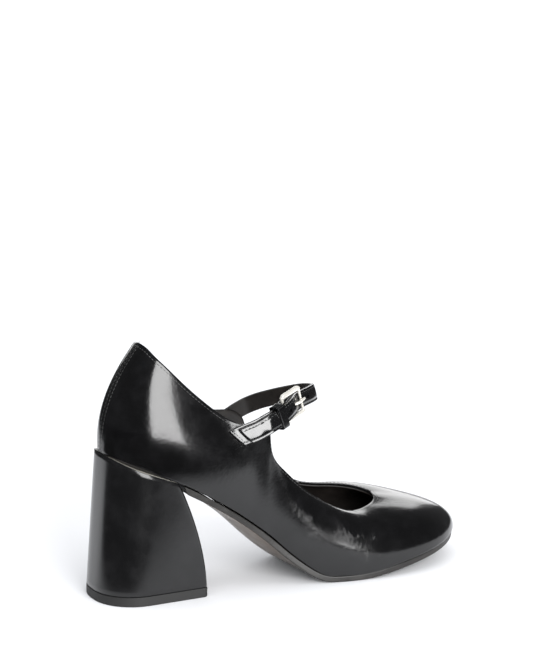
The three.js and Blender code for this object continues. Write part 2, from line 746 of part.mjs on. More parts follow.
const prongHoleRun = barRun + 4.5;
const prongHoleStretch = 3; // the hole in use is pulled long by the prong
const holes = [-1, 0, 1, 2].map((i) =>
  punch(prongHoleRun + i * holeSpacing, i === 0 ? prongHoleStretch : 1));
const strapLow = (run) => strapStandOff(run) + strapLiningThickness + glueLine;

// ---- assembly -------------------------------------------------------------
const finishes = {
  polishedLeather: { color: 0x0d0d0e, roughness: 0.16, metalness: 0 },
  heelLeather: { color: 0x141415, roughness: 0.3, metalness: 0 },
  liningLeather: { color: 0x241d1a, roughness: 0.6, metalness: 0 },
  suede: { color: 0x2a2421, roughness: 0.9, metalness: 0 },
  board: { color: 0x8a7358, roughness: 0.9, metalness: 0 },
  cork: { color: 0x9a7a52, roughness: 0.95, metalness: 0 },
  soleLeather: { color: 0x1d1a18, roughness: 0.55, metalness: 0 },
  foam: { color: 0xb9b2a4, roughness: 0.95, metalness: 0 },
  stiffener: { color: 0xc7bda8, roughness: 0.9, metalness: 0 },
  plastic: { color: 0xd8d3c8, roughness: 0.5, metalness: 0 },
  rubber: { color: 0x101010, roughness: 0.75, metalness: 0 },
  steel: { color: 0x9a9a98, roughness: 0.35, metalness: 1 },
  brightMetal: { color: 0xd9cfb8, roughness: 0.15, metalness: 1 },
};

const pieces = [];
function add(name, geometry, finish) {
  const mesh = new THREE.Mesh(geometry, new THREE.MeshStandardMaterial(finishes[finish]));
  mesh.name = name;
  pieces.push(mesh);
}

const padTo = gradeX(58);
const padRise = (x) => padThickness * fade(x, padTo - 14, 12);
const padLow = insoleHigh + headHeight + 1.5 * fit;
const sockLow = (x) => insoleHigh + cementLine + (padLow - insoleHigh) * fade(x, padTo - 4, 12) + padRise(x);
const toeRound = (p) => fade(Math.abs(p - toeStation), 3, 2); // the toe wall rolls in over the insole
const innerInset = upperThickness + stiffenerThickness + liningThickness + 2 * glueLine + fit;
const pinBores = [
  pinBore(screwX, 0, screwRadius, screwLength),
  ...nailPlaces.map(([x, y]) => pinBore(x, y, nailRadius, nailLength)),
];

add('upper', upperShell(), 'polishedLeather');
add('heel_counter', stiffener(0, counterSpan), 'stiffener');
add('toe_puff', stiffener(toeStation, puffSpan), 'stiffener');
add('heel_grip', lining(-gripStation, gripStation), 'suede');
add('quarter_lining_outer', lining(gripStation, seamStation), 'liningLeather');
add('vamp_lining', lining(seamStation, innerStation(seamStation)), 'liningLeather');
add('quarter_lining_inner', lining(innerStation(seamStation), innerStation(gripStation)), 'liningLeather');

const soleInset = 0.4; // feather line to the edge of the outsole
const soleUnderHeel = 4; // how far back the outsole starts before it is cut to the heel breast
add('outsole', cut(
  bottomSheet({
    inset: soleInset,
    low: -soleThickness,
    high: -cementLine,
    from: stationAtX(breastX - soleUnderHeel),
  }),
  [heelSolid(fit, 6, -1)],
), 'soleLeather');
const fillerStart = 12; // station at the back of the tread
add('forefoot_filler', bottomSheet({
  inset: lastingMargin + fit,
  low: 0.1,
  high: upperThickness - 0.1,
  from: fillerStart,
  to: toeStation - 2,
}), 'cork');
add('shank', cut(bottomSheet({
  inset: lastingMargin + fit,
  low: 0.1,
  high: 0.1 + shankThickness,
  from: stationAtX(screwX - 6),
  to: fillerStart - 1,
  halfWidth: shankWidth / 2,
}), [pinBores[0]]), 'steel');
add('insole_board', cut(
  bottomSheet({ inset: (p) => innerInset + 1.5 * toeRound(p), low: insoleLow, high: insoleHigh }),
  pinBores,
), 'board');
add('heel_pad', bottomSheet({
  inset: innerInset + 3,
  low: padLow,
  high: (x) => padLow + padRise(x),
  to: stationAtX(padTo - 6),
}), 'foam');
add('sock', bottomSheet({
  inset: (p) => innerInset + fit + 3 * toeRound(p),
  low: sockLow,
  high: (x) => sockLow(x) + sockThickness,
}), 'liningLeather');

add('heel_block', cut(
  heelSolid(blockInset, seatTop, blockFloor),
  [...pinBores, ...dowelPlaces.map((x) =>
    upright(dowelRadius + pinFit, 0, blockFloor + dowelLength + pinFit, x, 0))],
), 'plastic');
add('heel_cover', heelCover(), 'heelLeather');
add('top_piece', cut(
  skin([0, 1].map((level) => heelRing(1, 0, 0, 0).map((point) =>
    new THREE.Vector3(point.x, point.y, level * topPieceThickness)))),
  dowelPlaces.map((x) => upright(dowelRadius + pinFit, 1.5, 20, x, 0)),
), 'rubber');
dowelPlaces.forEach((x, i) =>
  add(`top_piece_dowel_${i + 1}`, upright(dowelRadius, 1.5 + pinFit, blockFloor + dowelLength, x, 0), 'steel'));
add('heel_screw', drivenPin(screwX, 0, screwRadius, screwLength, screwRadius + 1.8), 'steel');
nailPlaces.forEach(([x, y], i) =>
  add(`heel_nail_${i + 1}`, drivenPin(x, y, nailRadius, nailLength, nailRadius + 1), 'steel'));

add('strap', cut(
  ribbon(tipRun, strapRun, strapWidth, strapLow, (run) => strapLow(run) + strapThickness),
  holes,
), 'polishedLeather');
add('strap_lining', cut(
  ribbon(tipRun, strapRun, strapWidth, strapStandOff, (run) => strapStandOff(run) + strapLiningThickness),
  holes,
), 'liningLeather');
add('chape', chapeShape(), 'polishedLeather');
add('keeper', keeperShape(), 'polishedLeather');
add('buckle_frame', onBuckle(buckleFrame()), 'brightMetal');
add('prong', onBuckle(prongShape()), 'brightMetal');

const shoe = new THREE.Group();
shoe.add(...pieces);
const box = new THREE.Box3().setFromObject(shoe);
shoe.position.set(-(box.min.x + box.max.x) / 2, -(box.min.y + box.max.y) / 2, 0);

const part = new THREE.Group();
part.add(shoe);

export default part;
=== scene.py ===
# A right-foot block-heel bar shoe in polished black leather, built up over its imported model.
# Metres, +X to the toe, +Y to the inner side of the foot, +Z up, resting on z = 0.
import math
from collections import deque

import bmesh
import bpy
from mathutils import Matrix, Vector
from mathutils.bvhtree import BVHTree


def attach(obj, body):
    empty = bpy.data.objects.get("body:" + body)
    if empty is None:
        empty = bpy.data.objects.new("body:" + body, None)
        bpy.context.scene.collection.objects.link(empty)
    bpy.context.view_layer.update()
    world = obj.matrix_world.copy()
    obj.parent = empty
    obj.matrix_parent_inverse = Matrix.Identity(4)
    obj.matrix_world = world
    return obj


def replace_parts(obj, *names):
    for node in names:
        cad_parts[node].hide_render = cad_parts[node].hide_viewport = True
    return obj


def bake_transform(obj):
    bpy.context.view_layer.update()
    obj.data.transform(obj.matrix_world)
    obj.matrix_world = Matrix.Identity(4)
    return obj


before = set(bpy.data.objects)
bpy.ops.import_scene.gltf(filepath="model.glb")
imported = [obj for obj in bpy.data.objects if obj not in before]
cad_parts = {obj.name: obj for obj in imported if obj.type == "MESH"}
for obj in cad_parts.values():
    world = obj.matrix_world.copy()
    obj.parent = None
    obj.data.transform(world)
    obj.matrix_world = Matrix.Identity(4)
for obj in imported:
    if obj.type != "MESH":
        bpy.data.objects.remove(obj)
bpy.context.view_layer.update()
mm = 0.001


# ---- upper ----------------------------------------------------------------
# One piece of mirror-polished leather, pulled over the last and turned under the
# foot. The topline is folded in and the back is closed with a single seam.
def drop_diagonals(bm, lip_angle=math.radians(55)):
    """Turns a grid of split quads back into quads, starting from a face on the skin's narrow lip."""

    def bend(edge):
        return edge.calc_face_angle(0.0) if len(edge.link_faces) == 2 else 0.0

    start, best = None, 0.0
    for face in bm.faces:
        sharp = [edge for edge in face.edges if bend(edge) > lip_angle]
        if len(sharp) != 1:
            continue
        across, slant = sorted((e for e in face.edges if e is not sharp[0]), key=lambda e: e.calc_length())
        if bend(slant) < math.radians(4) and slant.calc_length() > best * across.calc_length():
            best = slant.calc_length() / max(across.calc_length(), 1e-9)
            start = (face, {sharp[0]: "row", across: "column", slant: "diagonal"})
    if start is None:
        return
    kind = start[1]
    queue, done = deque([start[0]]), {start[0]}
    while queue:
        face = queue.popleft()
        for edge in face.edges:
            for other in edge.link_faces:
                if other in done:
                    continue
                for corner in edge.verts:
                    opposite = next(e for e in face.edges if corner not in e.verts)
                    beside = next(e for e in other.edges if corner in e.verts and e is not edge)
                    kind.setdefault(beside, kind[opposite])
                done.add(other)
                queue.append(other)
    slants = [e for e, name in kind.items() if name == "diagonal" and len(e.link_faces) == 2]
    bmesh.ops.dissolve_edges(bm, edges=slants, use_verts=False, use_face_split=False)


def packed_mesh(node):
    """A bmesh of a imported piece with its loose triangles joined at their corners."""
    bm = bmesh.new()
    bm.from_mesh(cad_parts[node].data)
    bmesh.ops.remove_doubles(bm, verts=bm.verts, dist=1e-6)
    return bm


def new_piece(name, bm, body, material, smooth=True):
    """Puts a finished bmesh in the scene as a piece that rides on a body."""
    mesh = bpy.data.meshes.new(name)
    for face in bm.faces:
        face.smooth = smooth
    bm.to_mesh(mesh)
    bm.free()
    piece = bpy.data.objects.new(name, mesh)
    bpy.context.scene.collection.objects.link(piece)
    mesh.materials.append(material)
    if body:
        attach(piece, body)
    return piece


def add_subdivision(piece, levels, rounds=4):
    """Subdivides a piece and pushes its corners out until the smooth skin passes through where they were."""
    skin = piece.modifiers.new("skin", "SUBSURF")
    skin.levels = skin.render_levels = 2
    wanted = [vert.co.copy() for vert in piece.data.vertices]
    for _ in range(rounds):
        bpy.context.view_layer.update()
        smooth = piece.evaluated_get(bpy.context.evaluated_depsgraph_get()).data
        for vert, goal, now in zip(piece.data.vertices, wanted, smooth.vertices):
            vert.co += goal - now.co
        piece.data.update()
    skin.levels = skin.render_levels = levels
    return piece


def hold_edges(bm, angle, crease):
    """Creases the edges that bend by more than an angle, so that subdividing keeps them crisp."""
    layer = bm.edges.layers.float.get("crease_edge") or bm.edges.layers.float.new("crease_edge")
    for edge in bm.edges:
        if len(edge.link_faces) == 2 and edge.calc_face_angle(0.0) > angle:
            edge[layer] = crease


def new_group(name, inputs, outputs):
    """An empty shader node group with float inputs and typed outputs."""
    group = bpy.data.node_groups.new(name, "ShaderNodeTree")
    for label, value in inputs:
        socket = group.interface.new_socket(label, in_out="INPUT", socket_type="NodeSocketFloat")
        socket.default_value = value
    for label, kind in outputs:
        group.interface.new_socket(label, in_out="OUTPUT", socket_type=kind)
    return group, group.nodes.new("NodeGroupInput"), group.nodes.new("NodeGroupOutput")


def link_noise(tree, where, scale, detail, roughness=0.55, distortion=0.0):
    noise = tree.nodes.new("ShaderNodeTexNoise")
    noise.inputs["Detail"].default_value = detail
    noise.inputs["Roughness"].default_value = roughness
    noise.inputs["Distortion"].default_value = distortion
    noise.inputs["Scale"].default_value = scale
    tree.links.new(where, noise.inputs["Vector"])
    return noise.outputs["Fac"]


def link_math(tree, operation, first, second, clamp=False):
    """A Math node; each input is a number or a socket."""
    node = tree.nodes.new("ShaderNodeMath")
    node.operation = operation
    node.use_clamp = clamp
    for socket, value in zip(node.inputs, (first, second)):
        if isinstance(value, (int, float)):
            socket.default_value = value
        else:
            tree.links.new(value, socket)
    return node.outputs[0]


def link_range(tree, value, low, high, to_low, to_high):
    node = tree.nodes.new("ShaderNodeMapRange")
    node.interpolation_type = "SMOOTHSTEP"
    for label, number in zip(("From Min", "From Max", "To Min", "To Max"), (low, high, to_low, to_high)):
        node.inputs[label].default_value = number
    tree.links.new(value, node.inputs["Value"])
    return node.outputs["Result"]


def link_colours(tree, factor, first, second):
    node = tree.nodes.new("ShaderNodeMix")
    node.data_type = "RGBA"
    node.inputs["A"].default_value = (*first, 1)
    node.inputs["B"].default_value = (*second, 1)
    tree.links.new(factor, node.inputs["Factor"])
    return node.outputs["Result"]


def make_leather_grain():
    """Pores, the slow unevenness of a hand-lasted skin and a net of fine creases."""
    group, given, out = new_group(
        "leather_grain",
        [("Pore Scale", 2400), ("Pore Depth", 1), ("Crease Depth", 1), ("Sway Depth", 1), ("Crease Mask", 1),
         ("Rub Depth", 0.5)],
        [("Height", "NodeSocketFloat"), ("Wear", "NodeSocketFloat")],
    )
    where = group.nodes.new("ShaderNodeTexCoord").outputs["Object"]
    pores = group.nodes.new("ShaderNodeTexVoronoi")
    group.links.new(where, pores.inputs["Vector"])
    group.links.new(given.outputs["Pore Scale"], pores.inputs["Scale"])
    pore_height = link_math(group, "MULTIPLY", pores.outputs["Distance"], given.outputs["Pore Depth"])
    bend = group.nodes.new("ShaderNodeTexNoise")
    bend.inputs["Scale"].default_value = 130
    group.links.new(where, bend.inputs["Vector"])
    shifted = group.nodes.new("ShaderNodeMix")
    shifted.data_type = "VECTOR"
    shifted.inputs["Factor"].default_value = 0.012
    group.links.new(where, shifted.inputs["A"])
    group.links.new(bend.outputs["Color"], shifted.inputs["B"])
    net = group.nodes.new("ShaderNodeTexVoronoi")
    net.feature = "DISTANCE_TO_EDGE"
    net.inputs["Scale"].default_value = 1100
    group.links.new(shifted.outputs["Result"], net.inputs["Vector"])
    lines = link_range(group, net.outputs["Distance"], 0.0, 0.22, 0.0, 1.0)
    patchy = link_range(group, link_noise(group, where, 90, 2), 0.42, 0.62, 0.15, 1.0)
    strength = link_math(group, "MULTIPLY", given.outputs["Crease Mask"], given.outputs["Crease Depth"])
    creases = link_math(group, "MULTIPLY", lines, link_math(group, "MULTIPLY", patchy, strength))
    sway = link_math(group, "MULTIPLY", link_noise(group, where, 42, 3), given.outputs["Sway Depth"])
    rub = link_math(group, "MULTIPLY", link_noise(group, where, 520, 4, 0.6), given.outputs["Rub Depth"])
    both = link_math(group, "ADD", pore_height, link_math(group, "ADD", creases, rub))
    group.links.new(link_math(group, "ADD", both, sway), out.inputs["Height"])
    group.links.new(link_noise(group, where, 70, 6, 0.65), out.inputs["Wear"])
    return group


leather_grain = make_leather_grain()


def make_leather(name, dark, light, gloss, matte, depths, coat=0.0, flex=None, bump=0.3):
    """Leather with its own colours and gloss; flex is where it creases: a place and a reach."""
    material = bpy.data.materials.new(name)
    material.use_nodes = True
    tree = material.node_tree
    shader = tree.nodes["Principled BSDF"]
    grain = tree.nodes.new("ShaderNodeGroup")
    grain.node_tree = leather_grain
    for label, value in depths.items():
        grain.inputs[label].default_value = value
    if flex:
        (place, reach) = flex
        where = tree.nodes.new("ShaderNodeTexCoord").outputs["Object"]
        distance = tree.nodes.new("ShaderNodeVectorMath")
        distance.operation = "DISTANCE"
        distance.inputs[1].default_value = place
        tree.links.new(where, distance.inputs[0])
        mask = link_range(tree, distance.outputs["Value"], reach * 0.45, reach, 1.0, 0.12)
        tree.links.new(mask, grain.inputs["Crease Mask"])
    wear = grain.outputs["Wear"]
    tree.links.new(link_colours(tree, link_range(tree, wear, 0.4, 0.75, 0, 1), dark, light),
                   shader.inputs["Base Color"])
    tree.links.new(link_range(tree, wear, 0.35, 0.75, gloss, matte), shader.inputs["Roughness"])
    bumps = tree.nodes.new("ShaderNodeBump")
    bumps.inputs["Strength"].default_value = bump
    bumps.inputs["Distance"].default_value = 0.1 * mm
    tree.links.new(grain.outputs["Height"], bumps.inputs["Height"])
    tree.links.new(bumps.outputs["Normal"], shader.inputs["Normal"])
    shader.inputs["Coat Weight"].default_value = coat
    shader.inputs["Coat Roughness"].default_value = 0.04
    return material


upper_leather = make_leather(
    "upper_leather", dark=(0.002, 0.002, 0.0022), light=(0.005, 0.005, 0.0055), gloss=0.13, matte=0.22,
    depths={"Pore Depth": 0.06, "Crease Depth": 0.34, "Sway Depth": 1.2, "Rub Depth": 0.9}, coat=0.25,
    flex=((0.022, -0.034, 0.026), 0.040), bump=0.6,
)

bm = packed_mesh("upper")
drop_diagonals(bm)
hold_edges(bm, math.radians(50), 0.9)
back_top = min((v for v in bm.verts if v.co.z > 0.98 * max(v.co.z for v in bm.verts)), key=lambda v: v.co.x)


def straight_on(edge, vert):
    """The edge that carries on across a vertex where four faces meet."""
    return next(e for e in vert.link_edges if not set(e.link_faces) & set(edge.link_faces))


def loop_from(vert, edge):
    found = [vert]
    while True:
        vert = edge.other_vert(vert)
        if vert is found[0]:
            return found
        found.append(vert)
        edge = straight_on(edge, vert)


around = max(back_top.link_edges, key=lambda e: abs(e.other_vert(back_top).co.y - back_top.co.y))
topline_loop = loop_from(back_top, around)
topline = []
for vert in topline_loop:
    off_loop = [e for e in vert.link_edges if e.other_vert(vert) not in topline_loop]
    below = max(off_loop, key=lambda e: e.calc_length())
    topline.append((vert.co.copy(), below.other_vert(vert).co.copy()))
down = max(back_top.link_edges, key=lambda e: back_top.co.z - e.other_vert(back_top).co.z)
back_line = []
vert, edge = back_top, down
for _ in range(8):
    back_line.append(vert.co.copy())
    vert = edge.other_vert(vert)
    edge = straight_on(edge, vert)
back_line.append(vert.co.copy())
upper = add_subdivision(new_piece("upper_skin", bm, "shoe", upper_leather), 3, rounds=2)
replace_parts(upper, "upper")
bpy.context.view_layer.update()
upper_surface = BVHTree.FromObject(upper, bpy.context.evaluated_depsgraph_get())

# ---- stitching of the upper -----------------------------------------------
# A fine row of waxed thread just under the folded topline, and one on either
# side of the back seam. Each stitch dips into the leather at its ends.
stitch_pitch = 2.1 * mm
thread = make_leather(
    "waxed_thread", dark=(0.035, 0.035, 0.035), light=(0.11, 0.11, 0.108), gloss=0.35, matte=0.6,
    depths={"Pore Depth": 0.6, "Crease Depth": 0.0, "Sway Depth": 0.0}, bump=0.5,
)


def even_places(points, spacing, closed):
    """Places at an even spacing along a smooth line through points."""
    count = len(points)
    fine = []
    for i in range(count if closed else count - 1):
        a, b, c, d = (points[(i + k) % count] if closed else points[min(max(i + k, 0), count - 1)]
                      for k in (-1, 0, 1, 2))
        for step in range(12):
            s = step / 12
            fine.append(b + 0.5 * s * (c - a + s * (2 * a - 5 * b + 4 * c - d + s * (3 * (b - c) + d - a))))
    fine.append(points[0] if closed else points[-1])
    places, wait = [], 0.0
    for here, there in zip(fine, fine[1:]):
        length = (there - here).length
        while wait <= length and length > 0:
            places.append((here.lerp(there, wait / length), (there - here).normalized()))
            wait += spacing
        wait -= length
    return places


def sew(bm, places, length=1.55 * mm, width=0.34 * mm, height=0.26 * mm):
    """Adds one rounded stitch at each (place, direction, outward normal)."""
    for place, along, out in places:
        across = out.cross(along).normalized()
        turn = Matrix((along, across, along.cross(across))).transposed().to_4x4()
        size = Matrix.Diagonal((length / 2, width / 2, height / 2, 1))
        bmesh.ops.create_uvsphere(bm, u_segments=8, v_segments=5, radius=1,
                                  matrix=Matrix.Translation(place) @ turn @ size)


def on_upper(places):
    snapped = []
    for place, along in places:
        spot, out, _, _ = upper_surface.find_nearest(place)
        snapped.append((spot, (along - out * along.dot(out)).normalized(), out))
    return snapped


bm = bmesh.new()
row = [top + (low - top).normalized() * 2.0 * mm for top, low in topline]
sew(bm, on_upper(even_places(row, stitch_pitch, closed=True)))
for side in (-1, 1):
    beside = [point + Vector((0, side * 1.6 * mm, 0)) for point in back_line]
    sew(bm, on_upper(even_places(beside, stitch_pitch, closed=False)[1:]))
new_piece("upper_stitching", bm, "shoe", thread)

bm = bmesh.new()
seam = on_upper(even_places(back_line, 1.0 * mm, closed=False))
sew(bm, seam, length=2.4 * mm, width=0.5 * mm, height=0.22 * mm)
new_piece("back_seam", bm, "shoe", upper_leather)

# ---- lining, sock and what lies inside ------------------------------------
# Dark smooth lining leather in three pieces, a napped heel grip at the back and
# a sock on the insole. Glued in; the seams between them lie open by a hair.
lining_leather = make_leather(
    "lining_leather", dark=(0.010, 0.008, 0.007), light=(0.022, 0.017, 0.014), gloss=0.42, matte=0.6,
    depths={"Pore Depth": 0.5, "Crease Depth": 0.4, "Sway Depth": 0.6}, bump=0.5,
)
suede = make_leather(
    "suede", dark=(0.012, 0.009, 0.008), light=(0.028, 0.021, 0.017), gloss=0.8, matte=0.95,
    depths={"Pore Scale": 5000, "Pore Depth": 1.2, "Crease Depth": 0.0, "Sway Depth": 0.8}, bump=0.7,
)
for node, material, slot in (
    ("quarter_lining_outer", lining_leather, "lining_leather"),
    ("quarter_lining_inner", lining_leather, "lining_leather"),
    ("vamp_lining", lining_leather, "lining_leather"),
    ("heel_grip", suede, "suede"),
    ("sock", lining_leather, "lining_leather"),
):
    bm = packed_mesh(node)
    drop_diagonals(bm)
    hold_edges(bm, math.radians(50), 0.9)
    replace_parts(add_subdivision(new_piece(node + "_skin", bm, "shoe", material), 2), node)


def make_matter(name, dark, light, rough, scale, bump, metallic=0.0, stretch=(1, 1, 1)):
    """A plain workaday material with mottled colour and its own tooth."""
    material = bpy.data.materials.new(name)
    material.use_nodes = True
    tree = material.node_tree
    shader = tree.nodes["Principled BSDF"]
    turned = tree.nodes.new("ShaderNodeMapping")
    turned.inputs["Scale"].default_value = stretch
    tree.links.new(tree.nodes.new("ShaderNodeTexCoord").outputs["Object"], turned.inputs["Vector"])
    mottle = link_noise(tree, turned.outputs["Vector"], scale, 6, 0.6)
    tree.links.new(link_colours(tree, mottle, dark, light), shader.inputs["Base Color"])
    tree.links.new(link_range(tree, mottle, 0.3, 0.7, rough * 0.8, rough), shader.inputs["Roughness"])
    bumps = tree.nodes.new("ShaderNodeBump")
    bumps.inputs["Strength"].default_value = bump
    bumps.inputs["Distance"].default_value = 0.1 * mm
    tree.links.new(mottle, bumps.inputs["Height"])
    tree.links.new(bumps.outputs["Normal"], shader.inputs["Normal"])
    shader.inputs["Metallic"].default_value = metallic
    return material


resin_cloth = make_matter("resin_cloth", (0.5, 0.44, 0.34), (0.66, 0.6, 0.5), 0.95, 1500, 0.5)
fibreboard = make_matter("fibreboard", (0.3, 0.22, 0.14), (0.5, 0.38, 0.26), 0.95, 900, 0.5)
cork = make_matter("cork", (0.3, 0.19, 0.1), (0.55, 0.4, 0.25), 0.95, 700, 0.8)
felted_foam = make_matter("felted_foam", (0.5, 0.46, 0.4), (0.66, 0.62, 0.55), 0.98, 2200, 0.6)
moulded_plastic = make_matter("moulded_plastic", (0.6, 0.57, 0.5), (0.72, 0.69, 0.62), 0.55, 300, 0.15)
plain_steel = make_matter("plain_steel", (0.4, 0.4, 0.39), (0.55, 0.55, 0.54), 0.4, 900, 0.1, metallic=1.0)
for material, slot, nodes in (
    (resin_cloth, "stiffener", ("heel_counter", "toe_puff")),
    (fibreboard, "board", ("insole_board",)),
    (cork, "cork", ("forefoot_filler",)),
    (felted_foam, "foam", ("heel_pad",)),
    (moulded_plastic, "plastic", ("heel_block",)),
    (plain_steel, "steel", ("shank", "heel_screw", "heel_nail_1", "heel_nail_2", "heel_nail_3", "heel_nail_4",
                            "top_piece_dowel_1", "top_piece_dowel_2")),
):
    for node in nodes:
        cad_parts[node].data.materials.clear()
        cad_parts[node].data.materials.append(material)

# ---- outsole --------------------------------------------------------------
# Leather sole with a waxed black edge. The tread and the edge are black; the
# waist shows its brown leather underneath, rubbed darker towards the tread.
def make_sole_leather():
    material = make_leather(
        "sole_leather", dark=(0.012, 0.011, 0.010), light=(0.028, 0.026, 0.024), gloss=0.34, matte=0.5,
        depths={"Pore Scale": 1500, "Pore Depth": 0.4, "Crease Depth": 0.0, "Sway Depth": 0.7}, bump=0.4,
    )
    tree = material.node_tree
    shader = tree.nodes["Principled BSDF"]
    black = shader.inputs["Base Color"].links[0].from_socket
    facing = tree.nodes.new("ShaderNodeSeparateXYZ")
    tree.links.new(tree.nodes.new("ShaderNodeNewGeometry").outputs["Normal"], facing.inputs[0])
    place = tree.nodes.new("ShaderNodeSeparateXYZ")
    where = tree.nodes.new("ShaderNodeTexCoord").outputs["Object"]
    tree.links.new(where, place.inputs[0])
    under = link_range(tree, facing.outputs["Z"], -0.75, -0.45, 1, 0)
    waist = link_range(tree, place.outputs["X"], -0.03, 0.012, 1, 0)
    fibre = link_noise(tree, where, 260, 5)
    brown = link_colours(tree, fibre, (0.10, 0.072, 0.052), (0.17, 0.13, 0.10))
    both = tree.nodes.new("ShaderNodeMix")
    both.data_type = "RGBA"
    tree.links.new(link_math(tree, "MULTIPLY", under, waist), both.inputs["Factor"])
    tree.links.new(black, both.inputs["A"])
    tree.links.new(brown, both.inputs["B"])
    tree.links.new(both.outputs["Result"], shader.inputs["Base Color"])
    return material


sole_leather = make_sole_leather()
bm = packed_mesh("outsole")
bmesh.ops.join_triangles(bm, faces=bm.faces, angle_face_threshold=math.radians(40),
                         angle_shape_threshold=math.radians(60))
hold_edges(bm, math.radians(60), 0.75)
outsole = new_piece("outsole_leather", bm, "shoe", sole_leather)
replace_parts(add_subdivision(outsole, 3, rounds=0), "outsole")

# ---- heel cover and top piece ---------------------------------------------
# The moulded block is wrapped in one skin of the same black leather with a
# softer gloss. A black rubber top piece is pinned underneath.
heel_leather = make_leather(
    "heel_leather", dark=(0.004, 0.004, 0.0043), light=(0.008, 0.008, 0.0085), gloss=0.19, matte=0.24,
    depths={"Pore Scale": 2000, "Pore Depth": 0.25, "Crease Depth": 0.1, "Sway Depth": 1.2},
    coat=0.12, bump=0.5,
)
bm = packed_mesh("heel_cover")
drop_diagonals(bm)
hold_edges(bm, math.radians(60), 0.9)
heel_cover = new_piece("heel_cover_skin", bm, "shoe", heel_leather)
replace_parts(add_subdivision(heel_cover, 2, rounds=0), "heel_cover")

rubber = make_matter("black_rubber", (0.009, 0.009, 0.009), (0.018, 0.018, 0.018), 0.7, 1800, 0.5)
bm = packed_mesh("top_piece")
bmesh.ops.dissolve_limit(bm, angle_limit=math.radians(2), verts=bm.verts, edges=bm.edges)
rim = [e for e in bm.edges if len(e.link_faces) == 2 and e.calc_face_angle(0.0) > math.radians(60)]
bmesh.ops.bevel(bm, geom=rim, offset=0.45 * mm, offset_type="OFFSET", segments=3, profile=0.5, affect="EDGES",
                clamp_overlap=True, material=-1)
top_piece = new_piece("top_piece_rubber", bm, "shoe", rubber)
even = top_piece.modifiers.new("even_shading", "WEIGHTED_NORMAL")
even.keep_sharp = True
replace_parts(top_piece, "top_piece")

# ---- strap ----------------------------------------------------------------
# A strip of the same polished leather on a thin lining, edges painted, sewn
# along both sides. It leaves the inner quarter, crosses the instep, passes
# under the end bar and over the hinge bar, and its free end is cut on a slant.
strap_width = 9.2 * mm
strap_leather = 1.1 * mm
strap_backing = 0.7 * mm
strap_path = [Vector(point) * mm for point in (
    (-36.5, -27.4, 85.0), (-30.1, -28.4, 87.2), (-24.1, -28.9, 89.1), (-18.5, -29.8, 91.9),
    (-10.9, -28.4, 94.7),
    (-5.1, -25.4, 96.6), (-0.2, -21.1, 97.6), (4.2, -15.9, 98.2), (9.3, -12.3, 98.6), (14.7, -8.7, 98.7),
    (19.5, -4.4, 98.4), (23.5, 0.8, 97.8), (24.2, 7.5, 96.6), (22.0, 13.5, 95.2), (18.2, 18.6, 93.5),
    (13.6, 22.8, 91.8), (8.6, 26.6, 90.0), (3.4, 29.8, 88.1), (-2.3, 32.6, 85.5), (-9.0, 32.3, 83.0),
    (-14.6, 31.0, 80.9), (-20.4, 30.7, 78.5),
)]
lean = Vector((-0.28, 0, 1))
tip_lean = 0.24  # the free end lies on the quarter, whose wall leans in


def smooth_line(points, step=0.5 * mm):
    """(place, direction) at an even step along a line through points."""
    return even_places(points, step, closed=False)


def along_line(line, run, side, out, step=0.5 * mm):
    """The place at a run along a line, a distance to its upper side and a distance out from it."""
    i = min(max(run / step, 0), len(line) - 1.001)
    low, share = int(i), i - int(i)
    (a, da), (b, db) = line[low], line[low + 1]
    place, along = a.lerp(b, share), da.lerp(db, share).normalized()
    tilt = tip_lean * min(1.0, max(0.0, (38 * mm - run) / (16 * mm)))
    across = lean + Vector((0, tilt, 0))
    across = (across - along * across.dot(along)).normalized()
    return place + across * side + along.cross(across) * out


def flat_strip(length, width, thickness, holes, slant, corner=1.6 * mm):
    """A strip laid flat along x, its first end slanted, with its holes punched and its edges eased."""
    bm = bmesh.new()
    bmesh.ops.create_grid(bm, x_segments=int(length / (0.8 * mm)), y_segments=24, size=0.5)
    for vert in bm.verts:
        v = vert.co.y * width
        u = (vert.co.x + 0.5) * length
        room = max(0.0, 1 - u / (4 * width))
        near = max(0.0, abs(v) - (width / 2 - corner)) / corner
        vert.co = Vector((u + room * (-v * slant + 0.35 * corner * near ** 2), v, 0))
    bmesh.ops.solidify(bm, geom=bm.faces[:], thickness=thickness)
    bmesh.ops.recalc_face_normals(bm, faces=bm.faces)
    middle = sum(v.co.z for v in bm.verts) / len(bm.verts)
    bmesh.ops.translate(bm, verts=bm.verts, vec=(0, 0, -middle))
    rim = [e for e in bm.edges if e.calc_face_angle(0.0) > math.radians(60)]
    bmesh.ops.bevel(bm, geom=rim, offset=0.28 * thickness, offset_type="OFFSET", segments=3, profile=0.5,
                    affect="EDGES", clamp_overlap=True, material=-1)
    strip = bpy.data.objects.new("flat_strip", bpy.data.meshes.new("flat_strip"))
    bm.to_mesh(strip.data)
    bm.free()
    bpy.context.scene.collection.objects.link(strip)
    punch = bmesh.new()
    for run, radius, stretch in holes:
        bmesh.ops.create_cone(punch, cap_ends=True, segments=24, radius1=radius, radius2=radius, depth=6 * mm,
                              matrix=Matrix.Translation((run, 0, 0)) @ Matrix.Diagonal((stretch, 1, 1, 1)))
    tool = bpy.data.objects.new("punch", bpy.data.meshes.new("punch"))
    punch.to_mesh(tool.data)
    punch.free()
    bpy.context.scene.collection.objects.link(tool)
    if holes:
        punched = strip.modifiers.new("punched", "BOOLEAN")
        punched.operation, punched.solver, punched.object = "DIFFERENCE", "EXACT", tool
    bpy.context.view_layer.update()
    done = bmesh.new()
    done.from_object(strip, bpy.context.evaluated_depsgraph_get())
    for spare in (strip, tool):
        bpy.data.objects.remove(spare)
    return done


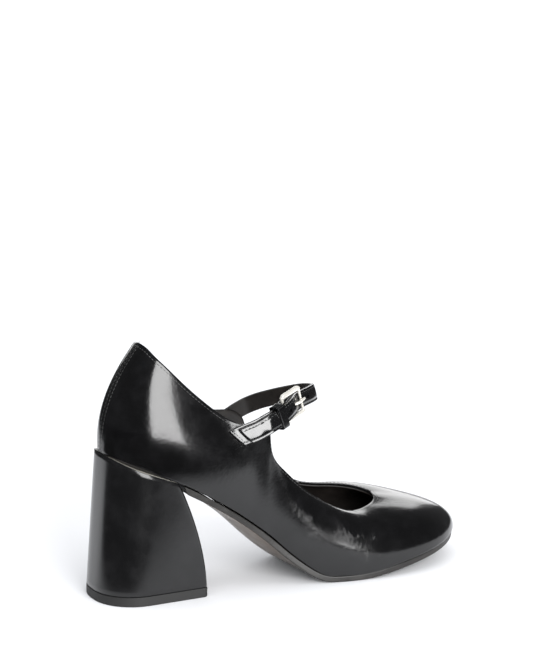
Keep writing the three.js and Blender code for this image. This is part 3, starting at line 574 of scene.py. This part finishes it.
def lay_on_line(bm, line, lift, crown=0.0, half=strap_width / 2):
    """Bends a flat strip onto a line; crown is how much fuller its middle stands than its edges."""
    for vert in bm.verts:
        run, side, out = vert.co
        sewn_in = math.exp(-((abs(side) - (half - 1.25 * mm)) / (0.38 * mm)) ** 2)
        full = crown * (1 - min(1.0, (side / half) ** 2)) - 0.45 * crown * sewn_in if out > 0 else 0.0
        vert.co = along_line(line, run, side, out + lift + full)
    return bm


def sewn_rows(line, rows, lift, width):
    """Stitches along a strip: each row is a list of (run, side) corners joined by straight sewing."""
    bm = bmesh.new()
    for corners in rows:
        flat = even_places_on_corners(corners, stitch_pitch * 0.95)
        places = []
        for (run, side), (run_step, side_step) in flat:
            place = along_line(line, run, side, lift)
            ahead = along_line(line, run + run_step * 0.2 * mm, side + side_step * 0.2 * mm, lift)
            proud = along_line(line, run, side, lift + mm)
            places.append((place, (ahead - place).normalized(), (proud - place).normalized()))
        sew(bm, places, length=1.5 * mm, width=width, height=0.26 * mm)
    return bm


def even_places_on_corners(corners, spacing):
    places = []
    for (u0, v0), (u1, v1) in zip(corners, corners[1:]):
        length = math.hypot(u1 - u0, v1 - v0)
        count = max(1, round(length / spacing))
        step = ((u1 - u0) / length, (v1 - v0) / length)
        for i in range(count):
            share = (i + 0.5) / count
            places.append(((u0 + (u1 - u0) * share, v0 + (v1 - v0) * share), step))
    return places


strap_line = smooth_line(strap_path)
strap_length = (len(strap_line) - 1) * 0.5 * mm
tip_slant = 0.42
tip_run = 5.0 * mm


def line_run(place):
    """How far along the strap's line a place lies."""
    return min(range(len(strap_line)), key=lambda i: (strap_line[i][0] - place).length) * 0.5 * mm


hinge_bar = Vector((-6.06, -21.40, 96.28)) * mm
bar_across = Vector((-0.2532, 0.0092, 0.9674)).normalized()
bar_along = Vector((0.8152, 0.5404, 0.2082)).normalized()
bar_out = bar_along.cross(bar_across)
bar_run = line_run(hinge_bar + bar_out * 3.5 * mm)
prong_run = bar_run + 6.9 * mm
hole_pitch = 8 * mm
strap_holes = [(prong_run + i * hole_pitch - tip_run, 0.85 * mm, 2.0 if i == 0 else 1.0)
               for i in (-1, 0, 1, 2)]


def strap_layer(name, thickness, lift, material, crown):
    bm = flat_strip(strap_length - tip_run, strap_width, thickness, strap_holes, tip_slant)
    bmesh.ops.translate(bm, verts=bm.verts, vec=(tip_run, 0, 0))
    lay_on_line(bm, strap_line, lift, crown)
    piece = new_piece(name, bm, None, material)
    for polygon in piece.data.polygons:
        polygon.use_smooth = True
    piece.data.set_sharp_from_angle(angle=math.radians(50))
    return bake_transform(piece)


strap_finish = make_leather(
    "strap_leather", dark=(0.003, 0.003, 0.0033), light=(0.006, 0.006, 0.0065), gloss=0.08, matte=0.14,
    depths={"Pore Depth": 0.06, "Crease Depth": 0.2, "Sway Depth": 1.2}, coat=0.8, bump=0.4,
)
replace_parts(strap_layer("strap_top", strap_leather, 0.0, strap_finish, 0.4 * mm), "strap")
backing_drop = -(strap_leather + strap_backing) / 2 - 0.05 * mm
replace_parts(strap_layer("strap_backing", strap_backing, backing_drop, lining_leather, 0.0),
            "strap_lining")
edge_row = strap_width / 2 - 1.25 * mm
tip_row = tip_run + 1.5 * mm
row_lift = strap_leather / 2 + 0.16 * mm
strap_rows = [
    [(strap_length - 2 * mm, edge_row), (tip_row - edge_row * tip_slant, edge_row),
     (tip_row + edge_row * tip_slant, -edge_row), (strap_length - 2 * mm, -edge_row)],
]
strap_seam = sewn_rows(strap_line, strap_rows, row_lift, 0.36 * mm)
strap_sewing = new_piece("strap_stitching", strap_seam, None, thread)
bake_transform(strap_sewing)

# ---- chape ----------------------------------------------------------------
# The short strap that holds the buckle: folded round the hinge bar, slotted
# for the prong, its slanted end sewn down on the outer quarter in a box.
chape_width = 10.6 * mm
chape_thickness = 1.5 * mm
chape_points = [Vector(point) * mm for point in (
    (-39.8, -25.0, 84.1), (-36.2, -25.3, 85.2), (-32.6, -25.6, 86.4), (-29.0, -25.9, 87.5),
    (-25.2, -26.2, 88.7),
    (-21.6, -26.6, 90.2), (-18.0, -27.2, 92.1), (-13.8, -26.8, 93.8), (-10.1, -25.2, 95.0),
    (-8.2, -24.0, 95.6),
)]
settled = []
for i, point in enumerate(chape_points):
    spot, out, _, _ = upper_surface.find_nearest(point)
    hold = max(0.0, 1 - max(0, i - 3) / 2)
    settled.append(point.lerp(spot + out * (chape_thickness / 2 + 0.12 * mm), hold))
chape_line = smooth_line(settled)
chape_length = (len(chape_line) - 1) * 0.5 * mm
chape_slant = 0.5
bm = flat_strip(chape_length - 4 * mm, chape_width, chape_thickness, [], chape_slant)
bmesh.ops.translate(bm, verts=bm.verts, vec=(4 * mm, 0, 0))
lay_on_line(bm, chape_line, 0.0, 0.15 * mm, chape_width / 2)
chape = new_piece("chape_strip", bm, "shoe", strap_finish)
chape.data.set_sharp_from_angle(angle=math.radians(50))
chape_row = chape_width / 2 - 1.2 * mm
chape_start = 5.6 * mm
bm = sewn_rows(chape_line, [[
    (chape_length - 8 * mm, chape_row), (chape_start - chape_row * chape_slant, chape_row),
    (chape_start + chape_row * chape_slant, -chape_row), (chape_length - 8 * mm, -chape_row),
]], chape_thickness / 2 + 0.1 * mm, 0.36 * mm)
new_piece("chape_stitching", bm, "shoe", thread)

fold_radius = 1.85 * mm
fold_width = 9.4 * mm
slot_half = 1.05 * mm
bm = bmesh.new()
for low, high in ((-fold_width / 2, -slot_half), (slot_half, fold_width / 2)):
    arc = [bm.verts.new(hinge_bar + bar_out * fold_radius + bar_across * level - bar_along * 2.4 * mm)
           for level in (low, high)]
    fold_edge = bm.edges.new(arc)
    drawn = bmesh.ops.extrude_edge_only(bm, edges=[fold_edge])
    moved = [v for v in drawn["geom"] if isinstance(v, bmesh.types.BMVert)]
    bmesh.ops.translate(bm, verts=moved, vec=bar_along * 2.4 * mm)
    lip = [e for e in drawn["geom"] if isinstance(e, bmesh.types.BMEdge) and all(v in moved for v in e.verts)]
    turned = bmesh.ops.spin(bm, geom=lip + moved, cent=hinge_bar, axis=bar_across, angle=-math.pi, steps=10,
                            use_merge=False)
    tail_edge = [e for e in turned["geom_last"] if isinstance(e, bmesh.types.BMEdge)]
    drawn = bmesh.ops.extrude_edge_only(bm, edges=tail_edge)
    moved = [v for v in drawn["geom"] if isinstance(v, bmesh.types.BMVert)]
    bmesh.ops.translate(bm, verts=moved, vec=bar_along * -2.8 * mm + bar_out * 0.6 * mm)
bmesh.ops.remove_doubles(bm, verts=bm.verts, dist=1e-5)
fold_thickness = 0.5 * mm
bmesh.ops.solidify(bm, geom=bm.faces[:], thickness=fold_thickness)
bmesh.ops.recalc_face_normals(bm, faces=bm.faces)
fold = new_piece("chape_fold", bm, "shoe", strap_finish)
eased = fold.modifiers.new("eased", "BEVEL")
eased.width, eased.segments, eased.limit_method = 0.15 * mm, 2, "ANGLE"
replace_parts(chape, "chape")

# ---- keeper ---------------------------------------------------------------
# A narrow loop of leather round the chape that holds the strap's free end,
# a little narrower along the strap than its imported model.
bm = packed_mesh("keeper")
drop_diagonals(bm)
hold_edges(bm, math.radians(50), 0.35)
keeper_narrowing = 0.25
keeper_middle = sum((v.co for v in bm.verts), Vector()) / len(bm.verts)
for vert in bm.verts:
    vert.co -= bar_along * (vert.co - keeper_middle).dot(bar_along) * keeper_narrowing
keeper = add_subdivision(new_piece("keeper_loop", bm, "shoe", strap_finish), 3)
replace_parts(keeper, "keeper")

# ---- buckle ---------------------------------------------------------------
# Cast and plated pale metal, polished bright: two stout rounded rails, a slim
# end bar and a hinge bar under the strap. The prong hooks round the hinge bar.
def make_bright_metal():
    material = bpy.data.materials.new("bright_metal")
    material.use_nodes = True
    tree = material.node_tree
    shader = tree.nodes["Principled BSDF"]
    where = tree.nodes.new("ShaderNodeTexCoord").outputs["Object"]
    mottle = link_noise(tree, where, 420, 4)
    pale = link_colours(tree, mottle, (0.86, 0.83, 0.76), (0.94, 0.92, 0.86))
    tree.links.new(pale, shader.inputs["Base Color"])
    tree.links.new(link_range(tree, mottle, 0.3, 0.7, 0.12, 0.24), shader.inputs["Roughness"])
    bumps = tree.nodes.new("ShaderNodeBump")
    bumps.inputs["Strength"].default_value = 0.15
    bumps.inputs["Distance"].default_value = 0.05 * mm
    tree.links.new(mottle, bumps.inputs["Height"])
    tree.links.new(bumps.outputs["Normal"], shader.inputs["Normal"])
    shader.inputs["Metallic"].default_value = 0.55
    return material


bright_metal = make_bright_metal()
bm = packed_mesh("buckle_frame")
bmesh.ops.join_triangles(bm, faces=bm.faces, angle_face_threshold=math.radians(40),
                         angle_shape_threshold=math.radians(90))
frame_piece = add_subdivision(new_piece("buckle_frame_metal", bm, "buckle", bright_metal), 2)
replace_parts(frame_piece, "buckle_frame")


def prong_point(forward, out):
    return hinge_bar + bar_along * forward * mm + bar_out * out * mm


prong_curve = bpy.data.curves.new("prong_metal", "CURVE")
prong_curve.dimensions = "3D"
prong_curve.bevel_depth = 0.74 * mm
prong_curve.bevel_resolution = 5
prong_curve.resolution_u = 6
prong_curve.use_fill_caps = True
hook = [(1.78 * math.cos(a), 1.78 * math.sin(a)) for a in (math.radians(d) for d in range(-200, 21, 20))]
prong_places = hook + [(4.0, 0.95), (6.0, 1.6), (7.8, 3.5), (10.0, 4.3), (13.8, 4.3), (15.2, 4.15)]
spline = prong_curve.splines.new("NURBS")
spline.points.add(len(prong_places) - 1)
for point, (forward, out) in zip(spline.points, prong_places):
    point.co = (*prong_point(forward, out), 1)
spline.points[-1].radius = 0.75
spline.use_endpoint_u = True
spline.order_u = 4
drawn_prong = bpy.data.objects.new("drawn_prong", prong_curve)
bpy.context.scene.collection.objects.link(drawn_prong)
bpy.context.view_layer.update()
bm = bmesh.new()
bm.from_mesh(drawn_prong.evaluated_get(bpy.context.evaluated_depsgraph_get()).to_mesh())
bpy.data.objects.remove(drawn_prong)
bmesh.ops.remove_doubles(bm, verts=bm.verts, dist=1e-6)
bmesh.ops.recalc_face_normals(bm, faces=bm.faces)
prong = new_piece("prong_metal", bm, "prong", bright_metal)
prong.data.set_sharp_from_angle(angle=math.radians(60))
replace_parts(prong, "prong")

# ---- ground, light and camera ---------------------------------------------
# A wide pale floor, a large soft light at the outer side, dimmer ones beyond the
# inner side and overhead, and even light all round. Polished pieces mirror a
# darker room than the eye sees, and a floor whose colour is painted near black
# for glossy rays: a painted dark reflection.
bm = bmesh.new()
bmesh.ops.create_grid(bm, x_segments=1, y_segments=1, size=12)
floor_mesh = bpy.data.meshes.new("floor")
bm.to_mesh(floor_mesh)
bm.free()
floor = bpy.data.objects.new("floor", floor_mesh)
bpy.context.scene.collection.objects.link(floor)
paper = bpy.data.materials.new("floor_paper")
paper.use_nodes = True
paper.node_tree.nodes["Principled BSDF"].inputs["Roughness"].default_value = 0.9
paper.node_tree.nodes["Principled BSDF"].inputs["Specular IOR Level"].default_value = 0.0
# Painted reflection: in glossy rays only, the floor's colour turns near black beyond a slanted line and
# beyond a radius, so the polished pieces mirror a painted dark band.
floor_reflection_tree = paper.node_tree
reflection_slant = floor_reflection_tree.nodes.new("ShaderNodeVectorMath")
reflection_slant.operation = "DOT_PRODUCT"
reflection_slant.inputs[1].default_value = (0.75, 0.66, 0)
floor_reflection_tree.links.new(floor_reflection_tree.nodes.new("ShaderNodeTexCoord").outputs["Object"], reflection_slant.inputs[0])
beyond = link_range(floor_reflection_tree, reflection_slant.outputs["Value"], -0.13, -0.085, 1, 0)
distance = floor_reflection_tree.nodes.new("ShaderNodeVectorMath")
distance.operation = "LENGTH"
floor_reflection_tree.links.new(reflection_slant.inputs[0].links[0].from_socket, distance.inputs[0])
near_floor, far_floor = 0.42, 0.6
far = link_range(floor_reflection_tree, distance.outputs["Value"], near_floor, far_floor, 0, 1)
beyond = link_math(floor_reflection_tree, "MAXIMUM", beyond, far)
mirrored = floor_reflection_tree.nodes.new("ShaderNodeLightPath").outputs["Is Glossy Ray"]
painted_reflection_colour = link_colours(floor_reflection_tree, link_math(floor_reflection_tree, "MULTIPLY", beyond, mirrored), (0.86, 0.865, 0.88),
                   (0.03, 0.03, 0.03))
floor_reflection_tree.links.new(painted_reflection_colour, floor_reflection_tree.nodes["Principled BSDF"].inputs["Base Color"])
floor_mesh.materials.append(paper)

world = bpy.data.worlds.new("studio")
bpy.context.scene.world = world
world.use_nodes = True
sky = world.node_tree
surround = sky.nodes["Background"]
surround.inputs["Color"].default_value = (0.97, 0.98, 1.0, 1)
ray = sky.nodes.new("ShaderNodeLightPath")
sky.links.new(link_range(sky, ray.outputs["Is Glossy Ray"], 0, 1, 1.04, 0.08), surround.inputs["Strength"])


def soft_light(name, azimuth, elevation, distance, width, height, power, target=Vector((0, 0, 0.06))):
    """A rectangular light that faces the shoe from a bearing: 0 is straight out from its outer side."""
    a, e = math.radians(azimuth), math.radians(elevation)
    away = Vector((math.sin(a) * math.cos(e), -math.cos(a) * math.cos(e), math.sin(e)))
    data = bpy.data.lights.new(name, "AREA")
    data.shape, data.size, data.size_y, data.energy = "RECTANGLE", width, height, power
    lamp = bpy.data.objects.new(name, data)
    bpy.context.scene.collection.objects.link(lamp)
    lamp.location = target + away * distance
    lamp.rotation_mode = "QUATERNION"
    lamp.rotation_quaternion = (-away).to_track_quat("-Z", "Y")
    return lamp


soft_light("side_light", azimuth=-2, elevation=16, distance=1.5, width=0.92, height=1.0, power=30)
soft_light("toe_light", azimuth=160, elevation=13, distance=4.5, width=3.5, height=2.0, power=47)
soft_light("top_light", azimuth=0, elevation=82, distance=2.0, width=1.6, height=1.4, power=6)

camera_data = bpy.data.cameras.new("camera")
camera = bpy.data.objects.new("camera", camera_data)
bpy.context.scene.collection.objects.link(camera)
bpy.context.scene.camera = camera
camera_data.lens = 150.2
away = Vector((-0.4364, -0.8565, 0.2756)).normalized()
right = Vector((-away.y, away.x, 0)).normalized()
aim = Vector((0.0025, 0.0026, 0.06))
look = -away * 2779.5 - right * 11.7 + away.cross(right) * 130
camera.location = aim + away * 1.5
camera.rotation_mode = "QUATERNION"
camera.rotation_quaternion = look.to_track_quat("-Z", "Y")
bpy.context.scene.view_settings.view_transform = "Standard"
